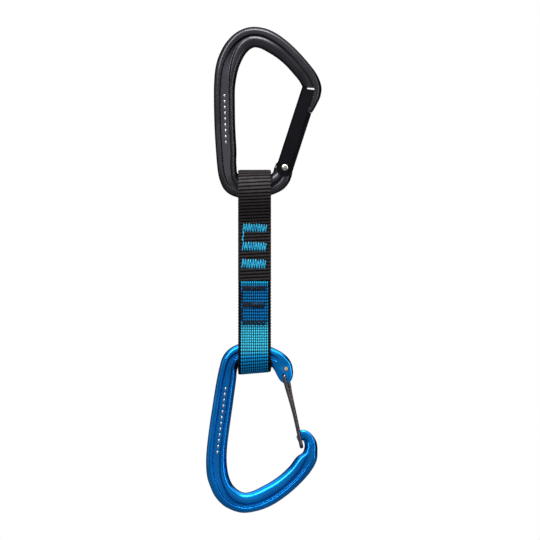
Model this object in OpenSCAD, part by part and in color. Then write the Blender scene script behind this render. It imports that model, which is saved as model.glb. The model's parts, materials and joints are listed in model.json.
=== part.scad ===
// Climbing quickdraw: two carabiners joined by a sewn webbing sling, hanging as in use.
// Origin: the inside of the crown of the bolt-end carabiner, where a bolt hanger bears.
// +Z up, the carabiners lie in the XZ plane with their spines on the -X side.
// Y is the thickness and the front faces -Y.

/* [Carabiner bodies] */
// Half thickness of the forged bodies at the bearing surfaces
body_half_t = 4.7; // [4.4:0.1:5]
// Depth of the forged I-beam recess, each side
recess_depth = 1.3; // [0.6:0.1:1.8]

/* [Solid gate] */
// Width of the gate, seen from the front
gate_w = 9.3; // [9:0.1:9.4]
// Thickness of the gate
gate_t = 8.8; // [8.4:0.1:9]
// Length from the rivet to the top of the gate
gate_len = 45.5; // [45.35:0.05:45.5]
// Thickness of the hinge tang on the body
tang_t = 3.9; // [3.4:0.1:4]
// Diameter of the rivet shank
rivet_d = 3; // [2.8:0.05:3.05]
// Diameter of the rivet head
rivet_head_d = 3.6; // [3.3:0.1:4]

/* [Wire gate] */
// Diameter of the gate wire
wire_d = 2.1; // [1.9:0.05:2.15]
// Half spacing of the two wire legs
leg_y = 3.35; // [3.3:0.01:3.5]

/* [Sling] */
// Width of the webbing
web_w = 18; // [16:0.5:18.5]
// Thickness of one webbing layer
web_t = 1.95; // [1.6:0.05:2]
// Height of a zigzag bartack
bartack_h = 4.7; // [4:0.1:5]
// Diameter of the sewing thread bundle
thread_t = 0.45; // [0.3:0.05:0.5]

/* [Hidden] */
$fn = 48;

// ---------- shared helpers ----------
far = 10; // cuts made in Y reach this far

// extrude an XZ outline along Y
module extrude_y(y0, y1) {
    rotate([90, 0, 0]) translate([0, 0, -y1]) linear_extrude(y1 - y0) children();
}
module rod_y(d, y0, y1) {
    translate([0, y1, 0]) rotate([90, 0, 0]) cylinder(d = d, h = y1 - y0);
}
// place children at an [x, z] point
module at(point) {
    translate([point[0], 0, point[1]]) children();
}

function unit(v) = v / norm(v);
function reversed(list) = [for (i = [len(list) - 1 : -1 : 0]) list[i]];
function mean(ring) = [for (p = ring) 1] * ring / len(ring);
function arc(centre, r, from, step, to) =
    [for (a = [from : step : to]) centre + r * [cos(a), sin(a)]];

// Catmull-Rom curve between p1 and p2
function cubic(p0, p1, p2, p3, t) =
    0.5 * (2 * p1 + (p2 - p0) * t + (2 * p0 - 5 * p1 + 4 * p2 - p3) * t * t
           + (3 * p1 - p0 - 3 * p2 + p3) * t * t * t);
// the rows with one smoothly interpolated row added between each two
function refined(rows) = let (last = len(rows) - 1)
    [for (i = [0 : last - 1], t = [0, 0.5])
         cubic(rows[max(i - 1, 0)], rows[i], rows[i + 1], rows[min(i + 2, last)], t),
     rows[last]];

// closed solid over a list of equal rings, each end capped by a fan round its mean point
module skin(rings) {
    n = len(rings);
    m = len(rings[0]);
    top = (n - 1) * m;
    polyhedron(
        points = concat([for (ring = rings) each ring], [mean(rings[0]), mean(rings[n - 1])]),
        faces = concat(
            [for (i = [0 : n - 2], j = [0 : m - 1])
                [i * m + j, i * m + (j + 1) % m, (i + 1) * m + j]],
            [for (i = [0 : n - 2], j = [0 : m - 1])
                [i * m + (j + 1) % m, (i + 1) * m + (j + 1) % m, (i + 1) * m + j]],
            [for (j = [0 : m - 1]) [(j + 1) % m, j, n * m]],
            [for (j = [0 : m - 1]) [top + j, top + (j + 1) % m, n * m + 1]]),
        convexity = 10);
}

// round wire along a list of points; side is a direction the path never follows
function wire_rings(path, r, end_r, sides, side) = let (last = len(path) - 1)
    [for (i = [0 : last])
        let (along = unit(path[min(i + 1, last)] - path[max(i - 1, 0)]),
             u = unit(cross(along, side)),
             v = cross(along, u),
             ring_r = i == 0 || i == last ? end_r : r)
        reversed([for (j = [0 : sides - 1])
            let (a = 360 * j / sides) path[i] + ring_r * (cos(a) * u + sin(a) * v)])];

// ---------- forged cross-section ----------
table_half_t = 4.7;  // body_half_t for which the station tables are given
table_recess = 1.3;  // recess_depth for which the station tables are given
edge_round = 3.1;    // largest width of the rounded edges
edge_power = 2.3;    // exponent of the superellipse that rounds them
recess_ramp = 0.9;   // width of the slope at each side of the recess

function rounding(dist, r) =
    dist >= r ? 1 : pow(1 - pow(1 - dist / r, edge_power), 1 / edge_power);
function ease(x) = x <= 0 ? 0 : x >= 1 ? 1 : x * x * (3 - 2 * x);

// ring of points round one station, in the columns of the station tables
function section(station) =
    let (outer = [station[0], station[1]],
         inner = [station[2], station[3]],
         width = norm(inner - outer),
         across = (inner - outer) / width,
         half_t = station[4] * body_half_t / table_half_t,
         depth = station[5] * recess_depth / table_recess,
         start = station[6] * width,
         end = station[7] * width,
         r = min(edge_round, width * 0.45),
         dists = [0.05 * r, 0.3 * r, 0.75 * r, start, start + recess_ramp,
                  end - recess_ramp, end, width - 0.75 * r, width - 0.3 * r, width - 0.05 * r],
         front = [for (dist = dists)
             let (p = outer + across * dist,
                  y = half_t * rounding(dist, r) * rounding(width - dist, r)
                      - depth * ease((dist - start) / recess_ramp)
                              * ease((end - dist) / recess_ramp))
             [p[0], -y, p[1]]])
    concat([[outer[0], 0, outer[1]]], front, [[inner[0], 0, inner[1]]],
           [for (p = reversed(front)) [p[0], -p[1], p[2]]]);

// ---------- bolt-end carabiner body ----------
// from the hinge round the basket, up the spine, over the crown and down to the nose;
// columns: outer edge x, z, inner edge x, z, half thickness, recess depth,
// recess start and end as fractions of the width from the outer edge
bolt_stations = [
    [20.68, -67.32, 11.66, -64.46, 4.3, 0, 0.35, 0.65],
    [19.965, -71.005, 10.395, -66.11, 4.4, 0, 0.35, 0.65],
    [18.26, -74.855, 9.68, -68.695, 4.6, 0.4, 0.35, 0.65],
    [14.96, -78.375, 7.205, -70.565, 4.7, 0.8, 0.34, 0.66],
    [9.185, -81.07, 3.685, -71.61, 4.7, 0.9, 0.34, 0.66],
    [0.935, -83.05, -0.715, -71.94, 4.7, 0.9, 0.34, 0.66],
    [-6.765, -83.05, -4.895, -71.885, 4.7, 0.9, 0.34, 0.66],
    [-13.09, -81.345, -8.085, -71.06, 4.7, 1.0, 0.33, 0.68],
    [-17.105, -78.155, -9.845, -68.97, 4.6, 1.1, 0.30, 0.72],
    [-19.305, -73.755, -10.23, -65.505, 4.5, 1.2, 0.28, 0.75],
    [-20.57, -68.53, -10.395, -62.205, 4.4, 1.3, 0.27, 0.77],
    [-21.505, -59.18, -10.285, -56.43, 4.3, 1.3, 0.26, 0.80],
    [-22.385, -45.43, -10.945, -44.33, 4.3, 1.3, 0.26, 0.80],
    [-22.77, -31.68, -11.165, -31.13, 4.3, 1.3, 0.26, 0.80],
    [-22.715, -20.13, -11, -21.23, 4.3, 1.3, 0.27, 0.78],
    [-21.835, -10.78, -9.295, -12.155, 4.4, 1.3, 0.28, 0.72],
    [-19.525, -3.355, -6.545, -5.61, 4.5, 1.2, 0.30, 0.66],
    [-15.565, 3.355, -3.905, -1.98, 4.6, 1.0, 0.32, 0.62],
    [-9.79, 8.69, -1.65, -0.44, 4.7, 0.9, 0.34, 0.62],
    [-2.64, 11.22, 0.165, 0, 4.7, 0.9, 0.35, 0.62],
    [5.06, 10.56, 3.3, -0.77, 4.7, 0.9, 0.35, 0.62],
    [11.66, 7.7, 7.26, -2.86, 4.7, 0.8, 0.36, 0.62],
    [17.71, 3.3, 11.935, -5.83, 4.6, 0.7, 0.36, 0.62],
    [23.485, -2.09, 16.61, -9.79, 4.5, 0.4, 0.36, 0.62],
    [29.26, -8.58, 21.285, -14.96, 4.4, 0, 0.36, 0.62],
    [33.825, -14.74, 24.475, -19.03, 4.3, 0, 0.36, 0.62],
    [36.355, -21.23, 26.015, -22.88, 4.2, 0, 0.36, 0.62],
    [35.915, -26.73, 25.025, -27.28, 4.1, 0, 0.36, 0.62],
    [33.825, -31.405, 23.43, -31.405, 4.0, 0, 0.36, 0.62],
    [31.295, -35.86, 21.615, -34.65, 3.8, 0, 0.36, 0.62]];

// The gate's own frame has the rivet at its origin: x runs across the gate, away from
// the spine, and z along it towards the nose.
gate_pivot = [16.28, -66.11];
gate_tilt = 18;
module in_gate() {
    at(gate_pivot) rotate([0, gate_tilt, 0]) children();
}

cam_centre = [-1.747, -0.435];
cam_r = 3.65;
tang_d = 6.2;
lug_half_t = 2.2;
lug_edge = -2.4;       // side of the lug nearest the spine
lug_ends = [35.6, 41.5];
lug_round = 1.2;

// outlines in the gate's frame
gate_room = [[-10, 3], [2.75, 3], [2.75, 45.6], [2.4, 45.75], [1.7, 46.8],
             [-1.9, 45.85], [-1.95, 45.65], [-10, 45.65]];
// room for the gate's cheeks, swept through the gate's swing
cheek_room = concat([[10, 0.4]], arc([0, 0], 5.05, 5, -12, -151),
                    [[-8.78, 5.42], [-8.78, 9.1], [10, 9.1]]);
lug_outline = concat(
    [[4, lug_ends[0]], [4, lug_ends[1]]],
    arc([lug_edge + lug_round, lug_ends[1] - lug_round], lug_round, 90, 18, 180),
    arc([lug_edge + lug_round, lug_ends[0] + lug_round], lug_round, 180, 18, 270));

module bolt_carabiner_body() color([0.2, 0.2, 0.215]) difference() {
    union() {
        difference() {
            skin([for (station = refined(bolt_stations)) reversed(section(station))]);
            in_gate() extrude_y(-far, far) polygon(gate_room);
            for (m = [0, 1]) mirror([0, m, 0])
                in_gate() extrude_y(-9, -tang_t / 2 - 0.03) polygon(cheek_room);
        }
        in_gate() {
            // hinge tang and its cam
            rod_y(tang_d, -tang_t / 2, tang_t / 2);
            at(cam_centre) rod_y(2 * cam_r, -tang_t / 2 + 0.02, tang_t / 2 - 0.02);
            // keylock lug
            extrude_y(-lug_half_t, lug_half_t) polygon(lug_outline);
        }
    }
    // rivet hole in the tang
    in_gate() rod_y(rivet_d + 0.1, -6, 6);
}

// ---------- solid gate ----------
gate_wide_len = 32.8;  // the gate has its full width up to here
gate_top_edge = 2.7;   // above that, its side away from the spine lies here
fork_gap = 4.2;
bore_d = 4.8;
bore_z = 2.5;
bore_len = 19.5;
counterbore_d = 4.5;
counterbore_y = 3.7;
notch_t = 4.9;
top_step = [[-1.85, 46], [-1.7, 44.65], [2.0, 45.4], [3.5, 45.45], [3.5, 50], [-1.85, 50]];

// cross-section with bevelled corners, larger on the side away from the spine
module gate_section() {
    w = gate_w / 2;
    t = gate_t / 2;
    polygon([[-w, -t + 1.2], [-w + 0.9, -t], [w - 2.3, -t], [w, -t + 1.8],
             [w, t - 1.8], [w - 2.3, t], [-w + 0.9, t], [-w, t - 1.2]]);
}

module bolt_gate() color([0.09, 0.09, 0.105]) in_gate() difference() {
    intersection() {
        union() {
            rod_y(gate_w, -gate_t / 2, gate_t / 2);
            translate([-gate_w / 2, -gate_t / 2, 0]) {
                cube([gate_w, gate_t, gate_wide_len]);
                cube([gate_w / 2 + gate_top_edge, gate_t, gate_len]);
            }
        }
        translate([0, 0, -8]) linear_extrude(60) gate_section();
    }
    // slanted step in the top
    extrude_y(-far, far) polygon(top_step);
    // fork slot for the tang
    translate([-8, -fork_gap / 2, -8]) cube([16, fork_gap, 13.2]);
    // bore for the plunger and spring
    translate([0, 0, bore_z]) cylinder(d = bore_d, h = bore_len);
    // rivet hole and its counterbores
    rod_y(rivet_d + 0.04, -8, 8);
    rod_y(counterbore_d, counterbore_y, 8);
    rod_y(counterbore_d, -8, -counterbore_y);
    // keylock notch, open on the side away from the spine and at the top
    translate([-2.75, -notch_t / 2, 35.4]) cube([12, notch_t, 6.6]);
    translate([1.2, -notch_t / 2, 35.4]) cube([12, notch_t, 12]);
}

rivet_half_len = 3.75;
head_y = 3.72;        // underside of the rivet head
head_rim = 0.3;       // straight part of the head, below its dome

module rivet_head() translate([0, -head_y, 0]) rotate([90, 0, 0]) {
    cylinder(d = rivet_head_d, h = head_rim);
    translate([0, 0, head_rim]) intersection() {
        translate([0, 0, -rivet_head_d * 0.65]) sphere(d = rivet_head_d * 1.64);
        cylinder(d = rivet_head_d, h = 2);
    }
}

module bolt_gate_rivet() color([0.78, 0.76, 0.73]) in_gate() {
    rod_y(rivet_d, -rivet_half_len, rivet_half_len);
    rivet_head();
    mirror([0, 1, 0]) rivet_head();
}

plunger_z = cam_centre[1] + cam_r + 0.02; // the plunger sits just clear of the cam
plunger_len = 5;

module bolt_gate_plunger() color([0.7, 0.68, 0.6]) in_gate() {
    translate([0, 0, plunger_z]) cylinder(d = 4.66, h = plunger_len);
    // stem inside the spring
    translate([0, 0, plunger_z + plunger_len - 0.1]) cylinder(d = 2.2, h = 7);
}

spring_r = 1.83;
spring_wire_r = 0.27;
spring_gap = 0.03;    // clearance at each end of the spring
spring_inset = 0.28;  // from the spring's end to the centre of its wire
spring_z0 = plunger_z + plunger_len + spring_gap + spring_inset;
spring_z1 = bore_z + bore_len - spring_gap - spring_inset;
spring_steps = 126;   // of 20 degrees each

// share of the height reached at share t of the length; the end coils are closer
function spring_rise(t) =
    t < 0.08 ? t * 0.25 : t > 0.92 ? 1 - (1 - t) * 0.25 : 0.02 + (t - 0.08) * 0.96 / 0.84;
spring_path = [for (i = [0 : spring_steps])
    [spring_r * cos(i * 20), spring_r * sin(i * 20),
     spring_z0 + (spring_z1 - spring_z0) * spring_rise(i / spring_steps)]];

module bolt_gate_spring() color([0.62, 0.63, 0.65]) in_gate()
    skin(wire_rings(spring_path, spring_wire_r, spring_wire_r, 6, [0, 0, 1]));

// ---------- rope-end carabiner body ----------
// from the flattened hinge end over the sling basket, down the spine, round the rope
// basket and up to the hooked nose; columns as in bolt_stations
rope_stations = [
    [18.315, -184.525, 15.345, -184.58, 1.9, 0, 0.35, 0.65],
    [19.965, -182.93, 13.53, -183.04, 2.15, 0, 0.35, 0.65],
    [20.79, -179.905, 11.935, -180.4, 2.2, 0, 0.35, 0.65],
    [20.68, -176.66, 10.78, -178.09, 2.2, 0, 0.35, 0.65],
    [19.745, -173.25, 9.405, -176.11, 2.25, 0, 0.35, 0.65],
    [17.655, -170.17, 7.535, -174.35, 3.6, 0.4, 0.35, 0.65],
    [14.465, -167.53, 5.115, -173.14, 4.5, 0.9, 0.34, 0.66],
    [9.735, -165.11, 2.585, -172.535, 4.7, 1.0, 0.34, 0.66],
    [3.685, -163.02, 0.11, -172.315, 4.7, 1.0, 0.34, 0.66],
    [-2.915, -162.195, -2.695, -172.48, 4.7, 1.0, 0.34, 0.66],
    [-9.24, -163.075, -6.49, -173.14, 4.7, 1.0, 0.34, 0.66],
    [-14.575, -165.99, -9.02, -175.01, 4.6, 1.1, 0.32, 0.70],
    [-17.985, -170.28, -10.065, -177.98, 4.5, 1.2, 0.30, 0.74],
    [-19.91, -176.605, -10.395, -181.83, 4.4, 1.3, 0.28, 0.76],
    [-21.725, -185.68, -11.165, -187.88, 4.3, 1.3, 0.27, 0.77],
    [-23.485, -196.68, -12.595, -198.33, 4.3, 1.3, 0.27, 0.77],
    [-25.3, -208.78, -14.245, -209.88, 4.3, 1.3, 0.27, 0.77],
    [-26.62, -219.78, -15.455, -220.055, 4.3, 1.3, 0.27, 0.76],
    [-27.115, -228.03, -15.675, -227.48, 4.4, 1.2, 0.28, 0.74],
    [-26.62, -235.455, -14.85, -234.355, 4.5, 1.1, 0.30, 0.70],
    [-24.915, -241.23, -12.87, -239.745, 4.6, 1.0, 0.32, 0.67],
    [-21.78, -247.5, -9.735, -243.1, 4.7, 1.0, 0.28, 0.60],
    [-16.225, -252.78, -6.27, -244.75, 4.7, 1.0, 0.25, 0.53],
    [-7.865, -255.86, -2.915, -244.42, 4.7, 1.0, 0.23, 0.49],
    [0.715, -254.98, 0.495, -243.1, 4.7, 1.0, 0.23, 0.48],
    [8.965, -251.9, 4.345, -241.12, 4.7, 1.0, 0.23, 0.49],
    [16.885, -246.73, 8.855, -238.59, 4.7, 1.0, 0.24, 0.50],
    [24.145, -240.46, 13.915, -234.96, 4.6, 0.9, 0.25, 0.52],
    [30.305, -233.53, 18.865, -230.23, 4.5, 0.8, 0.27, 0.55],
    [33.715, -227.37, 22.715, -225.17, 4.4, 0.7, 0.29, 0.60],
    [34.265, -221.98, 25.905, -222.86, 4.1, 0.5, 0.33, 0.67],
    [33.88, -217.58, 27.005, -220.11, 3.4, 0.2, 0.34, 0.66],
    [32.23, -214.17, 26.95, -217.8, 2.5, 0, 0.35, 0.65],
    [29.425, -211.31, 26.345, -216.26, 2.0, 0, 0.35, 0.65],
    [26.015, -210.21, 25.3, -216.315, 1.95, 0, 0.35, 0.65],
    [23.705, -211.64, 24.365, -216.81, 1.9, 0, 0.35, 0.65],
    [22.605, -214.28, 23.815, -217.03, 1.8, 0, 0.35, 0.65]];

// the two wire ends, and the axis midway between them that the gate turns about
front_pin = [15.895, -180.29];
rear_pin = [16.918, -176.77];
wire_axis = (front_pin + rear_pin) / 2;
wire_swing = 28;

// slot for a wire end, long enough for the wire to turn about its axis
module pin_slot(pin) {
    r = norm(pin - wire_axis);
    d = wire_d + 0.14;
    to = atan2(pin[1] - wire_axis[1], pin[0] - wire_axis[0]);
    from = to - wire_swing;
    for (a = [from, to]) at(wire_axis + r * [cos(a), sin(a)]) rod_y(d, -8, 8);
    translate([wire_axis[0], 8, wire_axis[1]]) rotate([90, 0, 0])
        rotate_extrude(angle = to - from, start = from) translate([r - d / 2, 0])
            square([d, 16]);
}

module rope_carabiner_body() color([0.02, 0.38, 0.75]) difference() {
    skin([for (station = refined(rope_stations)) section(station)]);
    pin_slot(front_pin);
    pin_slot(rear_pin);
}

// ---------- wire gate ----------
// centre lines of the legs from hinge to nose, as [x, z]
front_leg = [front_pin, [16.83, -185.13], [17.93, -188.98], [19.635, -194.755],
             [21.45, -201.355], [23.32, -209.605]];
rear_leg = [rear_pin, [17.71, -180.73], [18.535, -185.13], [19.14, -188.98],
            [20.24, -194.755], [21.67, -201.355], [23.43, -209.605]];
nose_end = [25.41, -219.505];  // centre line of the cross bar at the nose
nose_back = unit((front_leg[len(front_leg) - 1] + rear_leg[len(rear_leg) - 1]) / 2 - nose_end);
hinge_bend_r = 1.25;
nose_bend_r = 2.2;
pin_inset = 1.05;              // the pin rods end this far inside the leg centre lines

// one side of the wire, from its hinge end to the cross bar; side is -1 front, 1 rear
function wire_side(leg, side) =
    let (out = unit(leg[1] - leg[0]), points = refined(leg))
    concat(
        [[leg[0][0], side * (leg_y - 1.6), leg[0][1]]],
        [for (a = [22.5 : 22.5 : 90])
            let (p = leg[0] + out * hinge_bend_r * (1 - cos(a)))
            [p[0], side * (leg_y - hinge_bend_r * (1 - sin(a))), p[1]]],
        [for (i = [1 : len(points) - 1]) [points[i][0], side * leg_y, points[i][1]]],
        [for (a = [0 : 22.5 : 90])
            let (p = nose_end + nose_back * nose_bend_r * (1 - sin(a)))
            [p[0], side * (leg_y - nose_bend_r * (1 - cos(a))), p[1]]]);
wire_path = concat(wire_side(front_leg, -1), reversed(wire_side(rear_leg, 1)));

module rope_wire_gate() color([0.32, 0.3, 0.31]) {
    skin(wire_rings(wire_path, wire_d / 2, 0.6, 12, [1, 0, 0]));
    at(front_pin) rod_y(wire_d + 0.02, -leg_y + pin_inset, 2.1);
    at(rear_pin) rod_y(wire_d + 0.02, -2.5, leg_y - pin_inset);
    // staked tip
    at(rear_pin) rod_y(2.9, -2.68, -2.32);
}

// ---------- sling ----------
sling_x = -0.385;      // middle of the webbing's width
upper_loop_z = -76.3;  // centres of the loops
lower_loop_z = -169.5;
upper_loop_r = 7.25;   // inside radii of the loops
lower_loop_r = 8;
upper_flex_z = -93.5;  // ends of the sewn centre, where the loops part
lower_flex_z = -157;

// a round bar with straight flanks to a neck; up = 1 when the bar is above its neck, else -1
module loop_solid(bar_z, r, neck_y, neck_z, up, w) {
    drop = abs(neck_z - bar_z);
    a = acos(r / norm([neck_y, drop])) + atan2(neck_y, drop);
    // the flanks meet the bar just under its surface
    y = 0.997 * r * sin(a);
    z = bar_z - up * 0.997 * r * cos(a);
    translate([0, 0, bar_z]) rotate([0, 90, 0]) cylinder(r = r, h = w, center = true);
    rotate([90, 0, 90]) translate([0, 0, -w / 2]) linear_extrude(w)
        polygon([[neck_y, neck_z], [y, z], [0, bar_z], [-y, z], [-neck_y, neck_z]]);
}
module webbing_loop(z, r, flex_z, up) translate([sling_x, 0, 0]) difference() {
    loop_solid(z, r + web_t, 2.35, flex_z + up * 2.2, up, web_w);
    loop_solid(z, r, 0.25, flex_z + up, up, web_w + 2);
}

module webbing_upper_loop() color([0.12, 0.12, 0.125])
    webbing_loop(upper_loop_z, upper_loop_r, upper_flex_z, 1);

module webbing_sewn_centre() color([0.1, 0.3, 0.5]) translate([sling_x - web_w / 2, 0, 0]) {
    translate([0, -web_t, lower_flex_z]) cube([web_w, 2 * web_t, upper_flex_z - lower_flex_z]);
    for (z = [upper_flex_z, lower_flex_z])
        translate([0, 0, z]) rotate([0, 90, 0]) cylinder(r = web_t, h = web_w);
}

module webbing_lower_loop() color([0.1, 0.45, 0.65])
    webbing_loop(lower_loop_z, lower_loop_r, lower_flex_z, -1);

// rubber strip lining the bottom of the lower loop
module rope_end_keeper() color([0.06, 0.06, 0.06])
    translate([sling_x, 0, lower_loop_z]) difference() {
        translate([-9.35, 0, 0]) rotate([0, 90, 0]) cylinder(r = lower_loop_r - 0.02, h = 18.95);
        translate([-12, 0, 0]) rotate([0, 90, 0]) cylinder(r = 7.2, h = 24);
        translate([-12, -12, -3.5]) cube([24, 24, 24]);
    }

// ---------- sewing ----------
stroke_t = 0.5;        // width of one zigzag stroke
// bartacks: centre x, z, height, number of strokes
upper_tacks = [
    [-0.255, -99.44, bartack_h, 20],
    [-0.605, -109.56, bartack_h, 20],
    [-0.805, -119.13, bartack_h + 0.5, 20]];
lower_tacks = [
    [-0.605, -132.495, bartack_h - 1.7, 20],
    [-0.605, -141.79, bartack_h - 1.5, 20],
    [-0.605, -151.25, bartack_h - 1.7, 12]];
// centres of the short upright stitches between the bartacks
upper_stitches = [[-6.545, -104.06]];
lower_stitches = [[-7.205, -137.06], [-7.205, -146.52]];

// thread on the front and rear faces of the sewn centre
module on_both_faces() {
    for (y = [-web_t - thread_t, web_t]) extrude_y(y, y + thread_t) children();
}
module zigzag(strokes, w, h) {
    rise = stroke_t / 2 * norm([1, h * strokes / w]);
    line = [for (i = [0 : strokes])
        [-w / 2 + w * i / strokes, (i % 2 == 0 ? -1 : 1) * h / 2]];
    intersection() {
        polygon(concat([for (p = line) p - [0, rise]],
                       [for (p = reversed(line)) p + [0, rise]]));
        square([w + 1, h], center = true);
    }
}
module bartacks(tacks, w) {
    for (tack = tacks) at(tack) on_both_faces() zigzag(tack[3], w, tack[2]);
}
module stitches(centres, h) {
    for (centre = centres) at(centre) on_both_faces() square([0.8, h], center = true);
}

module upper_bartacks() color([0.1, 0.6, 0.8]) bartacks(upper_tacks, 13.4);
module upper_stitch_line() color([0.1, 0.6, 0.8]) stitches(upper_stitches, 4.6);
module lower_bartacks() color([0.05, 0.06, 0.08]) bartacks(lower_tacks, 13);
module lower_stitch_line() color([0.05, 0.06, 0.08]) stitches(lower_stitches, 5.2);

bolt_carabiner_body();
bolt_gate();
bolt_gate_rivet();
bolt_gate_plunger();
bolt_gate_spring();
rope_carabiner_body();
rope_wire_gate();
webbing_upper_loop();
webbing_sewn_centre();
webbing_lower_loop();
upper_bartacks();
upper_stitch_line();
lower_bartacks();
lower_stitch_line();
rope_end_keeper();
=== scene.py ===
"""A quickdraw hanging in the XZ plane: bolt carabiner on top, sewn sling, rope carabiner below.

Z is up, X runs from the spines (left, -X) to the gates (right, +X) and the front faces -Y.
The origin is level with the inside of the bolt carabiner's top bend. Shapes are in millimetres
and are scaled to metres when their meshes are made; materials, lights and camera are in metres.
"""
import bmesh
import bpy
import json
import math
import numpy as np
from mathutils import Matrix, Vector

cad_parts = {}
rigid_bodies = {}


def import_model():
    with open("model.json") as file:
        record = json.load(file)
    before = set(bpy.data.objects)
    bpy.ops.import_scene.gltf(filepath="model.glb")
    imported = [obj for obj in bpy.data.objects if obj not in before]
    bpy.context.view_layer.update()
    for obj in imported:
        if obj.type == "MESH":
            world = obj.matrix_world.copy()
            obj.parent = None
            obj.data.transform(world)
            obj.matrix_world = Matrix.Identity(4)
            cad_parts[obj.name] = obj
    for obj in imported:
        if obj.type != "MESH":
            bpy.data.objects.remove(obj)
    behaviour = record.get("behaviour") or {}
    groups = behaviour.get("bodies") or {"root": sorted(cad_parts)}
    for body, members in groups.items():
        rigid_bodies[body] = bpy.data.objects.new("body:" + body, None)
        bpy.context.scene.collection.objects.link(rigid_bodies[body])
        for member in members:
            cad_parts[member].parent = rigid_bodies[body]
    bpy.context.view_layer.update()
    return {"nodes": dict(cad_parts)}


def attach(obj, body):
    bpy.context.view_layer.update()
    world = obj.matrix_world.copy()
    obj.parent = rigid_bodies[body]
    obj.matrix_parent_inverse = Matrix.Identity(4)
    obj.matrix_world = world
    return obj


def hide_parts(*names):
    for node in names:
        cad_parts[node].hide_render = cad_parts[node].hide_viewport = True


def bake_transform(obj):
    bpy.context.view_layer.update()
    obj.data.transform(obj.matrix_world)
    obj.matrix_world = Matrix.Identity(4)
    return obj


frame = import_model()
MM = 0.001


# ------------------------------------------------------------------ mesh helpers
def new_mesh(name, verts, faces, uv=None):
    mesh = bpy.data.meshes.new(name)
    mesh.from_pydata([tuple(float(c) * MM for c in v) for v in verts], [], faces)
    mesh.validate()
    mesh.update()
    ob = bpy.data.objects.new(name, mesh)
    bpy.context.scene.collection.objects.link(ob)
    for face in mesh.polygons:
        face.use_smooth = True
    if uv is not None:
        layer = mesh.uv_layers.new(name="UVMap")
        corner = np.empty(len(mesh.loops), dtype=np.int32)
        mesh.loops.foreach_get("vertex_index", corner)
        layer.data.foreach_set("uv", np.asarray(uv, dtype=np.float32)[corner].ravel())
    return ob


def fix_normals(ob):
    bm = bmesh.new()
    bm.from_mesh(ob.data)
    bmesh.ops.recalc_face_normals(bm, faces=bm.faces)
    bm.to_mesh(ob.data)
    bm.free()


def ring_solid(name, rings, uv=None):
    """Solid through n rings of m points, each ring closed, with a fan cap at both ends."""
    n, m = rings.shape[:2]
    verts = list(rings.reshape(-1, 3))
    faces = []
    for i in range(n - 1):
        for j in range(m):
            k = (j + 1) % m
            faces.append((i * m + j, i * m + k, (i + 1) * m + k, (i + 1) * m + j))
    verts.append(rings[0].mean(0))
    verts.append(rings[-1].mean(0))
    first_cap, last_cap = n * m, n * m + 1
    for j in range(m):
        k = (j + 1) % m
        faces.append((k, j, first_cap))
        faces.append(((n - 1) * m + j, (n - 1) * m + k, last_cap))
    if uv is not None:
        uv = np.vstack([uv.reshape(-1, 2), uv[0].mean(0), uv[-1].mean(0)])
    ob = new_mesh(name, verts, faces, uv)
    fix_normals(ob)
    return ob


def prism(name, outline, y0, y1):
    """Closed prism of an outline of (x, z) points between two Y values."""
    n = len(outline)
    verts = [(p[0], y, p[1]) for y in (y0, y1) for p in outline]
    faces = [tuple(range(n)), tuple(range(2 * n - 1, n - 1, -1))]
    faces += [(i, i + n, (i + 1) % n + n, (i + 1) % n) for i in range(n)]
    ob = new_mesh(name, verts, faces)
    fix_normals(ob)
    return ob


def combine(ob, outline, y0, y1, operation="DIFFERENCE"):
    """Cut a prism out of an object, or add it with UNION."""
    cutter = prism("cutter", outline, y0, y1)
    modifier = ob.modifiers.new("b", "BOOLEAN")
    modifier.operation = operation
    modifier.solver = "EXACT"
    modifier.object = cutter
    bpy.context.view_layer.update()
    depsgraph = bpy.context.evaluated_depsgraph_get()
    result = bpy.data.meshes.new_from_object(ob.evaluated_get(depsgraph))
    ob.modifiers.clear()
    before, cutter_mesh = ob.data, cutter.data
    ob.data = result
    bpy.data.meshes.remove(before)
    bpy.data.objects.remove(cutter)
    bpy.data.meshes.remove(cutter_mesh)


def smooth_by_angle(ob, degrees=75):
    ob.data.update()
    for face in ob.data.polygons:
        face.use_smooth = True
    ob.data.set_sharp_from_angle(angle=math.radians(degrees))


def join(obs):
    """Join objects into the first, which keeps its name."""
    for ob in bpy.data.objects:
        ob.select_set(False)
    for ob in obs:
        ob.select_set(True)
    bpy.context.view_layer.objects.active = obs[0]
    bpy.ops.object.join()
    return obs[0]


# ------------------------------------------------------------------ curves
def catmull(rows, steps):
    """Catmull-Rom curve through rows of any width."""
    rows = np.asarray(rows, float)
    n = len(rows) - 1
    out = []
    for i in range(n):
        p0, p1, p2, p3 = rows[max(i - 1, 0)], rows[i], rows[i + 1], rows[min(i + 2, n)]
        for j in range(steps):
            t = j / steps
            out.append(0.5 * (2 * p1 + (p2 - p0) * t + (2 * p0 - 5 * p1 + 4 * p2 - p3) * t * t
                              + (3 * p1 - p0 - 3 * p2 + p3) * t ** 3))
    out.append(rows[-1])
    return np.array(out)


def smoothstep(x):
    x = np.clip(x, 0, 1)
    return x * x * (3 - 2 * x)


def rounded_edge(t, radius, power=2.3):
    """Superellipse rise from 0 at an edge to 1 at the radius."""
    q = np.clip(1 - t / radius, 0, 1)
    return (1 - q ** power) ** (1 / power)


def arc(centre, radius, angles):
    """Points round a centre, angles in radians."""
    return np.stack([centre[0] + radius * np.cos(angles), centre[1] + radius * np.sin(angles)], 1)


def full_turn(n):
    return np.linspace(0, 2 * math.pi, n, endpoint=False)


def unit(vector):
    return vector / np.linalg.norm(vector)


def running_length(points):
    steps = np.linalg.norm(np.diff(points, axis=0), axis=1)
    return np.concatenate([[0], np.cumsum(steps)])


def resample(points, step):
    points = np.asarray(points, float)
    length = running_length(points)
    n = max(2, int(round(length[-1] / step)) + 1)
    q = np.linspace(0, length[-1], n)
    return np.stack([np.interp(q, length, points[:, k]) for k in range(points.shape[1])], 1)


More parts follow.
